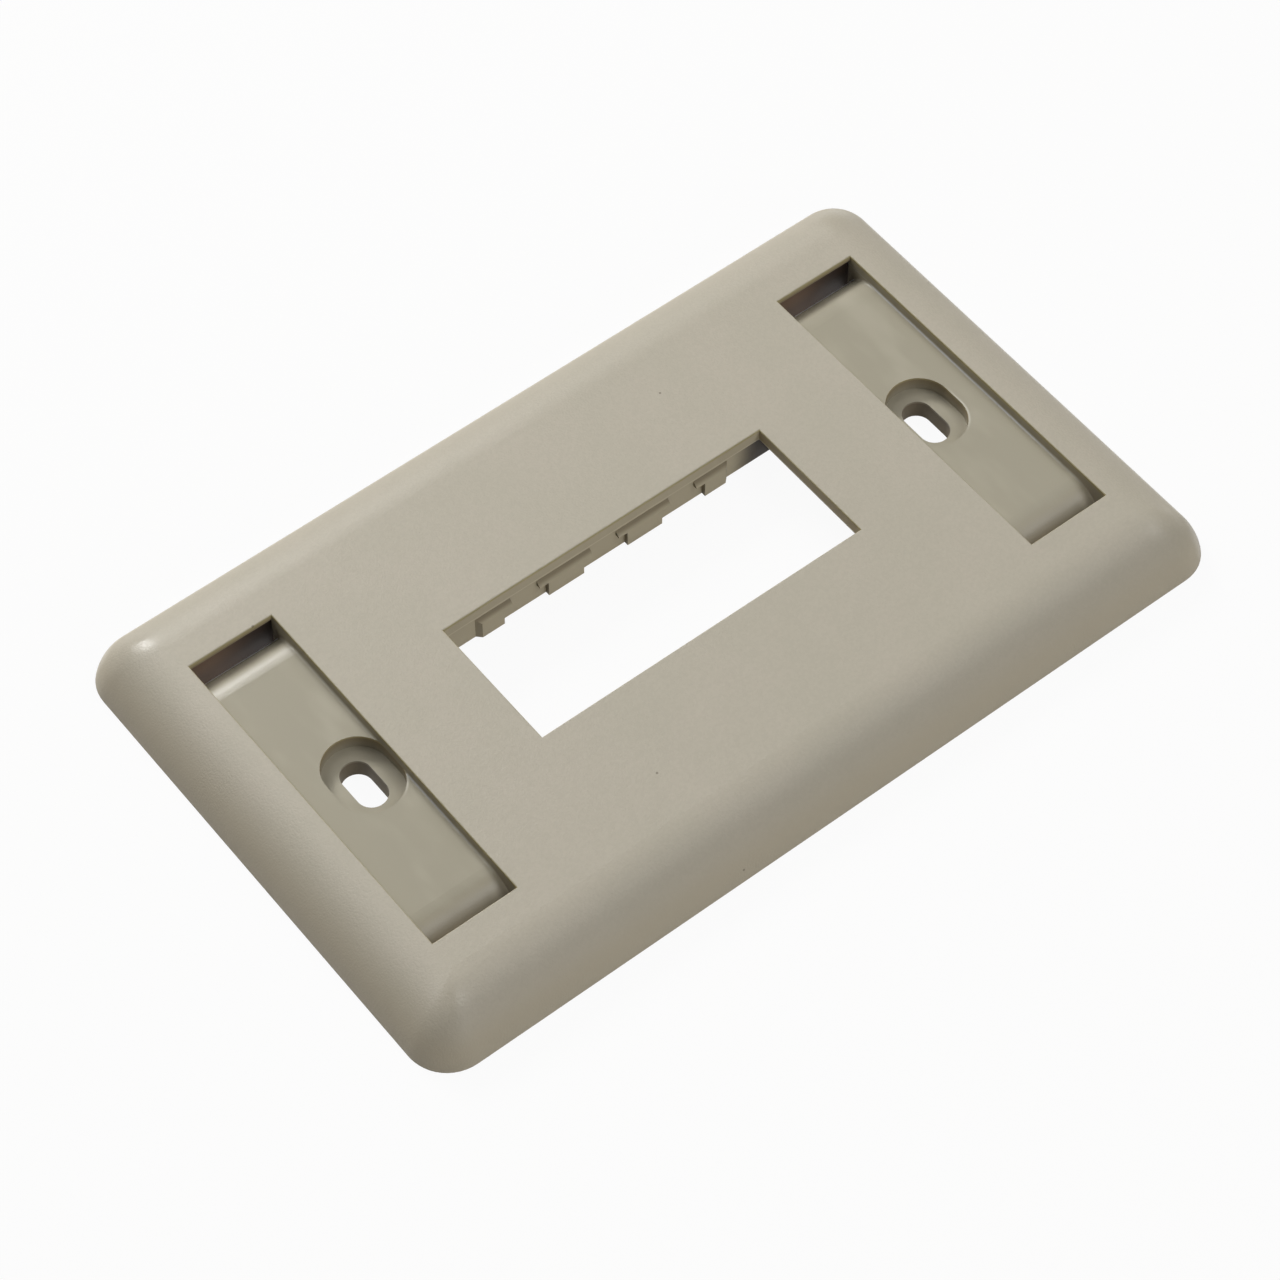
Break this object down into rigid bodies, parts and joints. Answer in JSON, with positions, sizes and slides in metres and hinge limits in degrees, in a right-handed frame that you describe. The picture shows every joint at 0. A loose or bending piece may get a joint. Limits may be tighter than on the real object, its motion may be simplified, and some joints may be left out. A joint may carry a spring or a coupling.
{
  "type": "data outlet cover plate",
  "caption": "Single-gang data outlet cover plate: a crowned, hollow-backed moulding with a long jack opening lined with retaining tabs, and a label recess with a slotted screw seat at each end",
  "frame": {"origin": "centre of the back rim, at the plane of the wall it is screwed to", "axes": "+X along the plate, through both screw slots; +Y across it; +Z out of the face"},
  "size_m": [0.1152, 0.0704, 0.0069],
  "materials": {
    "plate_plastic": "fine matte texture on the face, smoother in the label recesses"
  },
  "bodies": {
    "root": {"cover_plate": "plate_plastic"}
  },
  "joints": []
}
